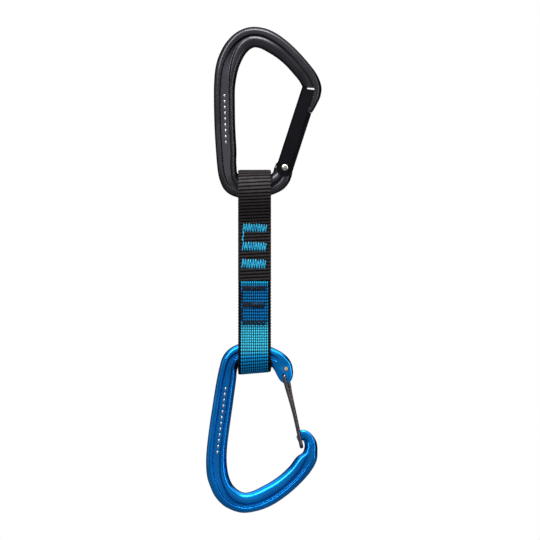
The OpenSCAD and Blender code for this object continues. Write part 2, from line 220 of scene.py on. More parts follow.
def smooth_path(points, passes):
    points = np.array(points, float)
    for _ in range(passes):
        relaxed = points.copy()
        relaxed[1:-1] = (points[:-2] + 2 * points[1:-1] + points[2:]) / 4
        points = relaxed
    return points


def tube(name, points, radius, sides):
    """Round tube whose section is carried along the path without twisting."""
    points = np.asarray(points, float)
    tangents = np.gradient(points, axis=0)
    tangents /= np.linalg.norm(tangents, axis=1)[:, None]
    ref = np.array([0, 0, 1.0]) if abs(tangents[0][1]) > 0.9 else np.array([0, 1.0, 0])
    side = unit(np.cross(tangents[0], ref))
    angles = full_turn(sides)[:, None]
    rings = []
    for point, tangent in zip(points, tangents):
        side = unit(side - tangent * side.dot(tangent))
        other = np.cross(tangent, side)
        rings.append(point + radius * (np.cos(angles) * side + np.sin(angles) * other))
    return ring_solid(name, np.array(rings))


# ------------------------------------------------------------------ carabiner bodies
# Stations along each body: outer edge x, z; inner edge x, z; half thickness; recess depth;
# where the recess starts and ends, as fractions of the width from the outer edge.
BOLT_STATIONS = [
    (20.68, -67.32, 11.66, -64.46, 4.3, 0, 0.35, 0.65),
    (19.965, -71.005, 10.395, -66.11, 4.4, 0, 0.35, 0.65),
    (18.26, -74.855, 9.68, -68.695, 4.6, 0.4, 0.35, 0.65),
    (14.96, -78.375, 7.205, -70.565, 4.7, 0.8, 0.34, 0.66),
    (9.185, -81.07, 3.685, -71.61, 4.7, 0.9, 0.34, 0.66),
    (0.935, -83.05, -0.715, -71.94, 4.7, 0.9, 0.34, 0.66),
    (-6.765, -83.05, -4.895, -71.885, 4.7, 0.9, 0.34, 0.66),
    (-13.09, -81.345, -8.085, -71.06, 4.7, 1.0, 0.33, 0.68),
    (-17.105, -78.155, -9.845, -68.97, 4.6, 1.1, 0.30, 0.72),
    (-19.305, -73.755, -10.23, -65.505, 4.5, 1.2, 0.28, 0.75),
    (-20.57, -68.53, -10.395, -62.205, 4.4, 1.3, 0.27, 0.77),
    (-21.505, -59.18, -10.285, -56.43, 4.3, 1.3, 0.26, 0.80),
    (-22.385, -45.43, -10.945, -44.33, 4.3, 1.3, 0.26, 0.80),
    (-22.77, -31.68, -11.165, -31.13, 4.3, 1.3, 0.26, 0.80),
    (-22.715, -20.13, -11.0, -21.23, 4.3, 1.3, 0.27, 0.78),
    (-21.835, -10.78, -9.295, -12.155, 4.4, 1.3, 0.28, 0.72),
    (-19.525, -3.355, -6.545, -5.61, 4.5, 1.2, 0.30, 0.66),
    (-15.565, 3.355, -3.905, -1.98, 4.6, 1.0, 0.32, 0.62),
    (-9.79, 8.69, -1.65, -0.44, 4.7, 0.9, 0.34, 0.62),
    (-2.64, 11.22, 0.165, 0, 4.7, 0.9, 0.35, 0.62),
    (5.06, 10.56, 3.3, -0.77, 4.7, 0.9, 0.35, 0.62),
    (11.66, 7.7, 7.26, -2.86, 4.7, 0.8, 0.36, 0.62),
    (17.71, 3.3, 11.935, -5.83, 4.6, 0.7, 0.36, 0.62),
    (23.485, -2.09, 16.61, -9.79, 4.5, 0.4, 0.36, 0.62),
    (29.26, -8.58, 21.285, -14.96, 4.4, 0, 0.36, 0.62),
    (33.825, -14.74, 24.475, -19.03, 4.3, 0, 0.36, 0.62),
    (36.355, -21.23, 26.015, -22.88, 4.2, 0, 0.36, 0.62),
    (35.915, -26.73, 25.025, -27.28, 4.1, 0, 0.36, 0.62),
    (33.825, -31.405, 23.43, -31.405, 4.0, 0, 0.36, 0.62),
    (31.295, -35.86, 21.615, -34.65, 3.8, 0, 0.36, 0.62)]
ROPE_STATIONS = [
    (18.315, -184.525, 15.345, -184.58, 1.9, 0, 0.35, 0.65),
    (19.965, -182.93, 13.53, -183.04, 2.15, 0, 0.35, 0.65),
    (20.79, -179.905, 11.935, -180.4, 2.2, 0, 0.35, 0.65),
    (20.68, -176.66, 10.78, -178.09, 2.2, 0, 0.35, 0.65),
    (19.745, -173.25, 9.405, -176.11, 2.25, 0, 0.35, 0.65),
    (17.655, -170.17, 7.535, -174.35, 3.6, 0.4, 0.35, 0.65),
    (14.465, -167.53, 5.115, -173.14, 4.5, 0.9, 0.34, 0.66),
    (9.735, -165.11, 2.585, -172.535, 4.7, 1.0, 0.34, 0.66),
    (3.685, -163.02, 0.11, -172.315, 4.7, 1.0, 0.34, 0.66),
    (-2.915, -162.195, -2.695, -172.48, 4.7, 1.0, 0.34, 0.66),
    (-9.24, -163.075, -6.49, -173.14, 4.7, 1.0, 0.34, 0.66),
    (-14.575, -165.99, -9.02, -175.01, 4.6, 1.1, 0.32, 0.70),
    (-17.985, -170.28, -10.065, -177.98, 4.5, 1.2, 0.30, 0.74),
    (-19.91, -176.605, -10.395, -181.83, 4.4, 1.3, 0.28, 0.76),
    (-21.725, -185.68, -11.165, -187.88, 4.3, 1.3, 0.27, 0.77),
    (-23.485, -196.68, -12.595, -198.33, 4.3, 1.3, 0.27, 0.77),
    (-25.3, -208.78, -14.245, -209.88, 4.3, 1.3, 0.27, 0.77),
    (-26.62, -219.78, -15.455, -220.055, 4.3, 1.3, 0.27, 0.76),
    (-27.115, -228.03, -15.675, -227.48, 4.4, 1.2, 0.28, 0.74),
    (-26.62, -235.455, -14.85, -234.355, 4.5, 1.1, 0.30, 0.70),
    (-24.915, -241.23, -12.87, -239.745, 4.6, 1.0, 0.32, 0.67),
    (-21.78, -247.5, -9.735, -243.1, 4.7, 1.0, 0.28, 0.60),
    (-16.225, -252.78, -6.27, -244.75, 4.7, 1.0, 0.25, 0.53),
    (-7.865, -255.86, -2.915, -244.42, 4.7, 1.0, 0.23, 0.49),
    (0.715, -254.98, 0.495, -243.1, 4.7, 1.0, 0.23, 0.48),
    (8.965, -251.9, 4.345, -241.12, 4.7, 1.0, 0.23, 0.49),
    (16.885, -246.73, 8.855, -238.59, 4.7, 1.0, 0.24, 0.50),
    (24.145, -240.46, 13.915, -234.96, 4.6, 0.9, 0.25, 0.52),
    (30.305, -233.53, 18.865, -230.23, 4.5, 0.8, 0.27, 0.55),
    (33.715, -227.37, 22.715, -225.17, 4.4, 0.7, 0.29, 0.60),
    (34.265, -221.98, 25.905, -222.86, 4.1, 0.5, 0.33, 0.67),
    (33.88, -217.58, 27.005, -220.11, 3.4, 0.2, 0.34, 0.66),
    (32.23, -214.17, 26.95, -217.8, 2.5, 0, 0.35, 0.65),
    (29.425, -211.31, 26.345, -216.26, 2.0, 0, 0.35, 0.65),
    (26.015, -210.21, 25.3, -216.315, 1.95, 0, 0.35, 0.65),
    (23.705, -211.64, 24.365, -216.81, 1.9, 0, 0.35, 0.65),
    (22.605, -214.28, 23.815, -217.03, 1.8, 0, 0.35, 0.65)]


def body_sweep(name, stations, extra_wall):
    """Forged body; extra_wall widens the recess's inner wall where the recess is narrow.

    U is how deep in the recess a point is, V how narrow the recess is there.
    """
    rings, uvs = [], []
    for row in catmull(stations, 12):
        outer, inner = row[0:2], row[2:4]
        width = np.linalg.norm(inner - outer)
        across = (inner - outer) / width
        half_thick, depth, start, end = row[4], row[5], row[6] * width, row[7] * width
        narrow = np.clip((6.2 - (end - start)) / 3.0, 0, 1)
        outer_wall, inner_wall = 0.85 + 0.25 * narrow, 1.35 + extra_wall * narrow
        radius = min(3.1, width * 0.45)
        # the columns of points follow the edges of the recess
        ease = 1 - np.cos(np.linspace(0, math.pi / 2, 17)[1:])
        limit = (end - start) * 0.45
        outer_run, inner_run = min(outer_wall, limit), min(inner_wall, limit)
        t = np.concatenate([
            start * ease,
            start + outer_run * np.linspace(0, 1, 10)[1:],
            np.linspace(start + outer_run, end - inner_run, 7)[1:-1],
            end - inner_run + inner_run * np.linspace(0, 1, 10),
            (width - (width - end) * ease)[::-1][1:]])
        recess = smoothstep((t - start) / outer_wall) * smoothstep((end - t) / inner_wall)
        rounding = (rounded_edge(t, radius)
                    * rounded_edge(width - t, radius + 1.5 * narrow, 2.3 - 0.3 * narrow))
        y = half_thick * rounding - depth * recess
        x, z = outer[0] + across[0] * t, outer[1] + across[1] * t
        ring = np.vstack([[outer[0], 0, outer[1]], np.stack([x, -y, z], 1),
                          [inner[0], 0, inner[1]], np.stack([x, y, z], 1)[::-1]])
        rings.append(ring)
        deep = np.concatenate([[0], recess, [0], recess[::-1]])
        uvs.append(np.stack([deep, np.full(len(ring), narrow)], 1))
    return ring_solid(name, np.array(rings), np.array(uvs))


# Bolt gate frame: origin at the pivot, v across the gate, u along it, leaning right.
GATE_PIVOT = np.array([16.28, -66.11])
GATE_TILT = math.radians(18)
GATE_ALONG = np.array([math.sin(GATE_TILT), math.cos(GATE_TILT)])
GATE_ACROSS = np.array([math.cos(GATE_TILT), -math.sin(GATE_TILT)])


def gate_outline(points):
    return [GATE_PIVOT + GATE_ACROSS * v + GATE_ALONG * u for v, u in points]


def gate_disc(v, u, radius, n):
    return gate_outline(arc((v, u), radius, full_turn(n)))


def bolt_body():
    body = body_sweep("bolt_carabiner_forging", BOLT_STATIONS, extra_wall=0.95)
    # the opening the gate fills
    combine(body, gate_outline([(-12, 2.9), (2.75, 2.9), (2.75, 45.6), (2.4, 45.75), (1.7, 46.8),
                                (-1.9, 45.85), (-1.95, 45.65), (-12, 45.65)]), -10, 10)
    # a seat on each face round the pivot, leaving a tongue between them
    seat = gate_outline([(10, 0.4), *arc((0, 0), 5.05, np.radians(np.linspace(5, -151, 40))),
                         (-8.78, 5.42), (-8.78, 9), (10, 9)])
    combine(body, seat, -9, -1.95)
    combine(body, seat, 1.95, 9)
    # round boss and offset cam on the tongue, with the rivet hole through them
    combine(body, gate_disc(0, 0, 3.1, 64), -1.94, 1.94, "UNION")
    combine(body, gate_disc(-1.747, -0.435, 3.65, 72), -1.93, 1.93, "UNION")
    combine(body, gate_disc(0, 0, 1.55, 40), -6, 6)
    # lug on the nose, with two rounded corners
    lug = [(4.0, 35.6), (4.0, 41.5),
           *arc((-1.2, 40.3), 1.2, np.radians(range(90, 181, 15))),
           *arc((-1.2, 36.8), 1.2, np.radians(range(180, 271, 15)))]
    combine(body, gate_outline(lug), -2.2, 2.2, "UNION")
    smooth_by_angle(body)
    return body


# Wire gate: (x, z) down the middle of each leg, from its pin end towards the nose.
FRONT_LEG = [(15.895, -180.29), (16.83, -185.13), (17.93, -188.98),
             (19.635, -194.755), (21.45, -201.355), (23.32, -209.605)]
REAR_LEG = [(16.918, -176.77), (17.71, -180.73), (18.535, -185.13), (19.14, -188.98),
            (20.24, -194.755), (21.67, -201.355), (23.43, -209.605)]
FRONT_PIN, REAR_PIN = np.array(FRONT_LEG[0]), np.array(REAR_LEG[0])
SWING_CENTRE = np.array([16.4065, -178.53])
SLOT_RADIUS = 1.12
SLOT_SWEEP = 28  # degrees, clockwise seen from the front


def rope_body():
    body = body_sweep("rope_carabiner_forging", ROPE_STATIONS, extra_wall=-0.25)
    # a curved blind slot for each end of the wire, one from each face
    for pin, y0, y1 in ((FRONT_PIN, -8, 0.9), (REAR_PIN, -0.9, 8)):
        offset = pin - SWING_CENTRE
        radius = np.linalg.norm(offset)
        start = math.degrees(math.atan2(offset[1], offset[0]))
        end = start - SLOT_SWEEP
        end_centre = arc(SWING_CENTRE, radius, [math.radians(end)])[0]
        outline = np.vstack([
            arc(SWING_CENTRE, radius + SLOT_RADIUS, np.radians(np.linspace(start, end, 8))),
            arc(end_centre, SLOT_RADIUS, np.radians(np.linspace(end, end - 180, 12)[1:-1])),
            arc(SWING_CENTRE, radius - SLOT_RADIUS, np.radians(np.linspace(end, start, 8))),
            arc(pin, SLOT_RADIUS, np.radians(np.linspace(start + 180, start, 12)[1:-1]))])
        combine(body, outline, y0, y1)
    smooth_by_angle(body)
    return body


bolt = bolt_body()
rope = rope_body()

# ------------------------------------------------------------------ wire gate
LEG_Y = 3.35
WIRE_RADIUS = 1.05
WIRE_END = np.array([25.41, -219.505])  # far end of the U at the nose
U_DIRECTION = unit(np.array([23.375, -209.605]) - WIRE_END)  # back towards the pins
U_CORNER = 2.2
PIN_CORNER = 1.25
PIN_REACH = 0.7  # how far each pin runs past the middle plane


def leg(points, y):
    q = catmull(points, 10)
    return np.stack([q[:, 0], np.full(len(q), y), q[:, 1]], 1)


def u_end(side):
    a = np.radians(np.linspace(0, 90, 14))
    back = U_CORNER * (1 - np.sin(a))
    return np.stack([WIRE_END[0] + U_DIRECTION[0] * back,
                     side * (LEG_Y - U_CORNER * (1 - np.cos(a))),
                     WIRE_END[1] + U_DIRECTION[1] * back], 1)


def pin_turn(points, side):
    start = np.array(points[0])
    heading = unit(np.array(points[1]) - start)
    a = np.radians(np.linspace(0, 90, 10))
    ahead = PIN_CORNER * (1 - np.cos(a))
    return np.stack([start[0] + heading[0] * ahead,
                     side * (LEG_Y - PIN_CORNER + PIN_CORNER * np.sin(a)),
                     start[1] + heading[1] * ahead], 1)


def wire_gate():
    path = np.vstack([
        [[FRONT_PIN[0], y, FRONT_PIN[1]] for y in (PIN_REACH, 0)],
        pin_turn(FRONT_LEG, -1), leg(FRONT_LEG, -LEG_Y)[4:], u_end(-1),
        u_end(1)[::-1], leg(REAR_LEG, LEG_Y)[::-1][:-4], pin_turn(REAR_LEG, 1)[::-1],
        [[REAR_PIN[0], y, REAR_PIN[1]] for y in (0, -PIN_REACH)]])
    return tube("rope_gate_wire", smooth_path(resample(path, 0.25), 3), WIRE_RADIUS, 24)


# (radius, distance from the middle plane) of a staked wire end
STAKE_PROFILE = [(0.9, 2.24), (1.42, 2.24), (1.47, 2.32), (1.45, 2.46),
                 (1.30, 2.58), (0.95, 2.66), (0.5, 2.695)]


def staked_end(name, centre, side):
    rings = [[(x, side * y, z) for x, z in arc(centre, radius, full_turn(40))]
             for radius, y in STAKE_PROFILE]
    return ring_solid(name, np.array(rings))


wire = wire_gate()
tip = staked_end("rope_gate_wire_tip", REAR_PIN, -1)
tip_rear = staked_end("rope_gate_wire_tip_rear", FRONT_PIN, 1)

# ------------------------------------------------------------------ webbing
WEB_X = -0.385
WEB_THICK = 1.95
WEB_WIDTH = 18.0
SEAM_Z = -128.5
UPPER_BAR_Z, LOWER_BAR_Z = -76.3, -169.5
UPPER_RIB, LOWER_RIB = 1.84, 1.70  # spacing of the rows of weave
UPPER_SKEW = 0.045  # how far the upper rows lean across the strip
COLUMN = 1.17  # spacing of the columns of weave
BARTACK_DEPTH = 0.16
BARTACK_HALF_WIDTH = 7.3
# top and bottom z of each band that the bartacks press in
UPPER_BANDS = [(-97.02, -101.695), (-106.975, -112.145), (-116.27, -121.935)]
LOWER_BANDS = [(-131.01, -133.925), (-140.14, -143.44), (-149.82, -152.79)]


def strip_path(bar_z, inner_radius, up, flex_z):
    """(y, z) down the strip's middle: front layer, round the bar, back layer."""
    radius = inner_radius + WEB_THICK / 2
    y0 = WEB_THICK / 2 + 0.03
    drop = abs(flex_z - bar_z)
    lean = math.acos(radius / math.hypot(y0, drop)) + math.atan2(y0, drop)
    q = np.linspace(-math.pi / 2 + lean, 1.5 * math.pi - lean, 160)
    loop = np.stack([-radius * np.cos(q), bar_z + up * radius * np.sin(q)], 1)
    path = resample(np.vstack([[[-y0, SEAM_Z], [-y0, flex_z]], loop,
                               [[y0, flex_z], [y0, SEAM_Z]]]), 0.1)
    smooth = smooth_path(path, 260)
    return resample(smooth, 0.2)


def pressed_spans(bands, length):
    """Spans along the strip for each band, on the front layer and the back one."""
    spans = []
    for band in bands:
        near, far = sorted(abs(SEAM_Z - z) for z in band)
        spans += [(near - 0.3, far + 0.3), (length - far - 0.3, length - near + 0.3)]
    return spans


def strip(name, path, rib, bands, rib_height, column_height, scallop,
          skew=0.0, crown=0.0, bend=None):
    """Woven strip; crown flattens the weave over the bar. U is across it, V along it, in mm."""
    tangents = np.gradient(path, axis=0)
    tangents /= np.linalg.norm(tangents, axis=1)[:, None]
    lengths = running_length(path)
    normals = np.stack([-tangents[:, 1], tangents[:, 0]], 1)
    # outward is towards the front on the front layer
    if normals[len(path) // 8].dot([-1, 0]) < 0:
        normals = -normals
    half_width = WEB_WIDTH / 2
    S, X = np.meshgrid(lengths, np.linspace(-1, 1, 109) * half_width, indexing="ij")
    selvedge = smoothstep((np.abs(X) - (half_width - 1.5)) / 0.4)
    rounding = np.clip((np.abs(X) - (half_width - 0.85)) / 0.85, 0, 1)
    profile = np.sqrt(np.clip(1 - rounding ** 2, 0, 1))
    skewed = S - skew * X
    row = np.abs(np.sin(math.pi * skewed / rib)) ** 0.8
    column = np.abs(np.cos(math.pi * X / COLUMN)) ** 0.7
    jitter = 0.12 * np.sin(X * 2.1 + S * 0.37) + 0.1 * np.sin(S * 1.3 + X * 0.7)
    relief = (rib_height * (row - 0.5) + column_height * (column - 0.5) * (0.4 + 0.6 * row)
              + 0.03 * jitter)
    edge_relief = 0.10 * np.abs(np.sin(math.pi * S / rib)) - 0.02
    relief = relief * (1 - selvedge) + selvedge * edge_relief
    relief *= 1 - crown * smoothstep((path[:, 1:2] - (path[:, 1].max() - 3.6)) / 1.6)
    for start, end in pressed_spans(bands, lengths[-1]):
        relief -= (BARTACK_DEPTH
                   * smoothstep((S - start) / 0.8) * smoothstep((end - S) / 0.8)
                   * smoothstep((X + BARTACK_HALF_WIDTH) / 0.8)
                   * smoothstep((BARTACK_HALF_WIDTH - X) / 0.8))

    def layer(x, offset):
        return np.stack([WEB_X + x, path[:, 0:1] + normals[:, 0:1] * offset,
                         path[:, 1:2] + normals[:, 1:2] * offset], 2)

    scallops = scallop * (np.abs(np.sin(math.pi * skewed / rib)) ** 1.5 - 0.6)
    outer = layer(X + np.sign(X) * scallops * (np.abs(X) > half_width - 0.3),
                  (WEB_THICK / 2 - 0.12 + relief) * profile)
    # the inner face is plain, with every sixth column
    coarse = X[:, ::6]
    inner = layer(coarse, -(WEB_THICK / 2 - 0.02) * profile[:, ::6])[:, ::-1][:, 1:-1]
    points = np.concatenate([outer, inner], 1)
    if bend is not None:
        points = bend(points)
    inner_x = coarse[:, ::-1][:, 1:-1]
    uv = np.concatenate([np.stack([X, S], 2),
                         np.stack([inner_x, S[:, :inner_x.shape[1]]], 2)], 1)
    return ring_solid(name, points, uv)


def lower_bend(points):
    """The bottom of the lower loop sits a little higher on the gate side."""
    points = points.copy()
    points[..., 2] += (0.085 * (points[..., 0] - WEB_X + 1.5)
                       * smoothstep((-163.0 - points[..., 2]) / 12.0))
    return points


upper_path = strip_path(UPPER_BAR_Z, inner_radius=7.25, up=1, flex_z=-95.5)
lower_path = strip_path(LOWER_BAR_Z, inner_radius=8.0, up=-1, flex_z=-154.5)
lower_length = running_length(lower_path)[-1]
upper_strip = strip("webbing_upper", upper_path, UPPER_RIB, UPPER_BANDS, rib_height=0.40,
                    column_height=0.05, scallop=0.30, skew=UPPER_SKEW, crown=0.7)
lower_strip = strip("webbing_lower", lower_path, LOWER_RIB, LOWER_BANDS, rib_height=0.26,
                    column_height=0.34, scallop=0.26, bend=lower_bend)

# ------------------------------------------------------------------ stitching
# centre x, centre z, height, width, strokes, thread radius, lean, phase of the unevenness
UPPER_BARTACKS = [(-0.255, -99.385, 4.8, 13.2, 19, 0.28, -0.03, 1.90533),
                  (-0.555, -109.56, 5.1, 13.2, 19, 0.28, -0.03, 1.55577),
                  (-0.805, -119.13, 5.5, 13.2, 19, 0.28, -0.04, 0.106217)]
LOWER_BARTACKS = [(-0.705, -132.495, 3.1, 12.8, 19, 0.3, 0.0, 5.55666),
                  (-0.905, -141.79, 3.4, 12.4, 19, 0.3, 0.0, 3.60711),
                  (-0.605, -151.305, 3.2, 12.6, 11, 0.33, 0.0, 2.05755)]
# x, top z, bottom z, thread radius
UPPER_RUNS = [(-6.655, -101.31, -107.03, 0.36)]
LOWER_RUNS = [(-7.37, -133.705, -140.58, 0.34), (-7.48, -143.055, -149.93, 0.34)]
STITCH_PITCH = 1.6


def bartack(name, side, centre_x, centre_z, height, width, strokes, radius, lean, phase):
    """Thread in near-upright strokes, each bowed over the webbing."""
    points = []
    for i in range(strokes):
        direction = 1 if i % 2 == 0 else -1
        for t in np.linspace(0, 1, 9)[:-1]:
            across = -width / 2 + width * (i + t) / strokes
            uneven = 1 + 0.07 * math.sin(i * 2.3 + phase) * (1 if t < 0.5 else -1)
            points.append([centre_x + across + 0.05 * math.sin(i * 1.7),
                           side * (WEB_THICK - 0.26 + 0.50 * math.sin(math.pi * t) ** 0.5),
                           centre_z + direction * (2 * t - 1) * height / 2 * uneven
                           + lean * across])
    return tube(name, points, radius, 8)


def run_stitch(name, side, x, top, bottom, radius):
    """A line of stitches running down the webbing."""
    points = []
    n = max(2, int(abs(bottom - top) / STITCH_PITCH))
    for i in range(n):
        for t in np.linspace(0, 1, 8)[:-1]:
            points.append([x + 0.25 * math.sin(i * 2.1 + t * 3),
                           side * (WEB_THICK - 0.25 + 0.5 * math.sin(math.pi * t) ** 0.5),
                           top + (bottom - top) * (i + t) / n])
    return tube(name, points, radius, 8)


def stitching(name, stitch, rows):
    """The same stitches on the front (-1) and the back (1)."""
    return join([stitch(name, side, *row) for side in (-1, 1) for row in rows])


upper_bartacks = stitching("upper_bartack_thread", bartack, UPPER_BARTACKS)
upper_runs = stitching("upper_run_thread", run_stitch, UPPER_RUNS)
lower_bartacks = stitching("lower_bartack_thread", bartack, LOWER_BARTACKS)
lower_runs = stitching("lower_run_thread", run_stitch, LOWER_RUNS)

# ------------------------------------------------------------------ keeper in the lower loop
KEEPER_RADIUS = 7.6
KEEPER_HALF_THICK = 0.36
KEEPER_LEFT, KEEPER_RIGHT = -9.15, 9.35  # from the middle of the webbing


def rubber_keeper():
    rings = []
    for a in np.radians(np.linspace(200, 340, 80)):
        normal = np.array([math.cos(a), math.sin(a)])
        centre = np.array([0, LOWER_BAR_Z]) + KEEPER_RADIUS * normal
        ring = []
        for t in full_turn(28):
            cos_t, sin_t = math.cos(t), math.sin(t)
            x = ((KEEPER_LEFT + KEEPER_RIGHT) / 2 + (KEEPER_RIGHT - KEEPER_LEFT) / 2
                 * np.sign(cos_t) * abs(cos_t) ** 0.25)
            lip = 0.0 if abs(x) < 9.0 else 0.22
            offset = KEEPER_HALF_THICK * np.sign(sin_t) * abs(sin_t) ** 0.6 + lip
            y, z = centre + normal * offset
            ring.append([WEB_X + x, y, z])
        rings.append(ring)
    return ring_solid("rope_end_rubber", lower_bend(np.array(rings)))


keeper = rubber_keeper()

# ------------------------------------------------------------------ etched marks on the spines
MARK_LENGTH, MARK_WIDTH, MARK_GAP = 1.9, 0.75, 1.3
MARK_CORNER = 0.14
MARK_Y, MARK_HALF_THICK = -3.02, 0.05


def mark_row(name, start, end):
    """A row of short rounded bars along a line on the front."""
    start, end = np.array(start), np.array(end)
    length = np.linalg.norm(end - start)
    along = (end - start) / length
    across = np.array([along[1], -along[0]])
    half_length, half_width = MARK_LENGTH / 2 - MARK_CORNER, MARK_WIDTH / 2 - MARK_CORNER
    local = np.vstack([
        arc((sx * half_length, sz * half_width), MARK_CORNER, np.radians(first + np.arange(0, 91, 30)))
        for sx, sz, first in ((1, 1, 0), (-1, 1, 90), (-1, -1, 180), (1, -1, 270))])
    marks = []
    position = 0.0
    while position < length:
        centre = start + along * (position + MARK_LENGTH / 2)
        outline = [centre + along * q + across * s for q, s in local]
        marks.append(prism(name, outline, MARK_Y - MARK_HALF_THICK, MARK_Y + MARK_HALF_THICK))
        position += MARK_LENGTH + MARK_GAP
    return join(marks)


upper_marks = mark_row("upper_spine_print", (-16.995, -25.905), (-16.115, -52.03))
lower_marks = mark_row("lower_spine_print", (-16.28, -186.78), (-21.12, -224.73))

# ------------------------------------------------------------------ node helpers
# parts of a noise's output that are spread over a whole range
BROAD, MIDDLE = (0.3, 0.7), (0.35, 0.65)
FINE_BUMP = 0.00004


def srgb(*channels):
    """Linear colour from 0-255 sRGB channels."""
    return tuple((c / 255) / 12.92 if c / 255 <= 0.04045 else ((c / 255 + 0.055) / 1.055) ** 2.4
                 for c in channels)


def scaled(colour, factor):
    return tuple(c * factor for c in colour)


class Nodes:
    def __init__(self, owner):
        owner.use_nodes = True
        self.tree = owner.node_tree
        self.tree.nodes.clear()

    def node(self, kind, **settings):
        node = self.tree.nodes.new(kind)
        for key, value in settings.items():
            setattr(node, key, value)
        return node

    def feed(self, socket, value):
        """Link an output, or set a number or an RGB colour."""
        if isinstance(value, bpy.types.NodeSocket):
            self.tree.links.new(value, socket)
        else:
            socket.default_value = value + (1.0,) if isinstance(value, tuple) else value

    def math(self, operation, a, b=None):
        node = self.node("ShaderNodeMath", operation=operation)
        self.feed(node.inputs[0], a)
        if b is not None:
            self.feed(node.inputs[1], b)
        return node.outputs[0]

    def ramp(self, value, span, to=(0.0, 1.0), **settings):
        """Map a span of values to another, clamped."""
        node = self.node("ShaderNodeMapRange", clamp=True, **settings)
        for socket, item in zip(node.inputs, (value, *span, *to)):
            self.feed(socket, item)
        return node.outputs[0]

    def coord(self, which="Object"):
        return self.node("ShaderNodeTexCoord").outputs[which]

    def split(self, vector):
        node = self.node("ShaderNodeSeparateXYZ")
        self.feed(node.inputs[0], vector)
        return node.outputs

    def noise(self, scale, detail, rough, vector=None, stretch=None):
        node = self.node("ShaderNodeTexNoise")
        node.inputs["Scale"].default_value = scale
        node.inputs["Detail"].default_value = detail
        node.inputs["Roughness"].default_value = rough
        source = self.coord() if vector is None else vector
        if stretch is not None:
            mapping = self.node("ShaderNodeMapping")
            mapping.inputs["Scale"].default_value = stretch
            self.feed(mapping.inputs[0], source)
            source = mapping.outputs[0]
        self.feed(node.inputs["Vector"], source)
        return node.outputs[0]

    def mix(self, factor, a, b, blend="MIX"):
        node = self.node("ShaderNodeMix", data_type="RGBA", blend_type=blend)
        for index, value in ((0, factor), (6, a), (7, b)):
            self.feed(node.inputs[index], value)
        return node.outputs[2]

    def mix_by_ray(self, other, camera):
        """One shader for camera rays, another for the rest."""
        path = self.node("ShaderNodeLightPath")
        node = self.node("ShaderNodeMixShader")
        self.feed(node.inputs[0], path.outputs["Is Camera Ray"])
        self.feed(node.inputs[1], other.outputs[0])
        self.feed(node.inputs[2], camera.outputs[0])
        return node.outputs[0]

    def facing(self, blend):
        node = self.node("ShaderNodeLayerWeight")
        node.inputs[0].default_value = blend
        return node.outputs["Facing"]

    def bump(self, height, strength, distance=FINE_BUMP, normal=None):
        node = self.node("ShaderNodeBump")
        node.inputs["Strength"].default_value = strength
        node.inputs["Distance"].default_value = distance
        self.feed(node.inputs["Height"], height)
        if normal is not None:
            self.feed(node.inputs["Normal"], normal)
        return node.outputs[0]


class Surface(Nodes):
    """A material with one Principled shader."""

    def __init__(self, name):
        self.material = bpy.data.materials.new(name)
        super().__init__(self.material)
        output = self.node("ShaderNodeOutputMaterial")
        self.shader = self.node("ShaderNodeBsdfPrincipled")
        self.feed(output.inputs[0], self.shader.outputs[0])

    def finish(self, **inputs):
        for key, value in inputs.items():
            self.feed(self.shader.inputs[key.replace("_", " ")], value)
        return self.material


# ------------------------------------------------------------------ metals
def painted_forging_shade(t, base, flange, wide, narrow):
    """Painted shade and light: brightness of the flanges and of the recess floor where it is wide or
    narrow.
    """
    uv = t.split(t.coord("UV"))
    deep = t.ramp(uv[0], span=(0.1, 0.85))
    floor_shade_factor = t.ramp(uv[1], span=(0.15, 0.9), to=(wide, narrow))
    shade_factor = t.math("ADD", t.math("MULTIPLY", deep, t.math("SUBTRACT", floor_shade_factor, flange)), flange)
    grey = t.node("ShaderNodeCombineXYZ")
    for socket in grey.inputs:
        t.feed(socket, shade_factor)
    return t.mix(1.0, base, grey.outputs[0], "MULTIPLY")


def dark_metal(name, colour, rough, with_painted_shade=False):
    t = Surface(name)
    grain = t.noise(scale=900, detail=5, rough=0.6)
    cloud = t.noise(scale=60, detail=3, rough=0.5)
    base = t.mix(t.ramp(cloud, MIDDLE), scaled(colour, 0.82), scaled(colour, 1.15))
    if with_painted_shade:
        # painted shade and light: darker flanges, a lighter recess floor where it is wide and a much
        # darker one where it is narrow
        base = painted_forging_shade(t, base, flange=0.64, wide=1.08, narrow=0.16)
    roughness = t.math("ADD", t.ramp(grain, BROAD, to=(rough - 0.05, rough + 0.07)),
                       t.ramp(cloud, BROAD, to=(-0.03, 0.03)))
    normal = t.bump(grain, strength=0.05)
    # painted shade: darker where the surface turns away
    base = t.mix(t.ramp(t.facing(blend=0.5), span=(0.25, 0.7), to=(0.0, 0.92)),
                 base, scaled(colour, 0.1))
    return t.finish(Base_Color=base, Metallic=0.92, Roughness=roughness, Normal=normal,
                    Specular_Tint=(0.35, 0.35, 0.37))


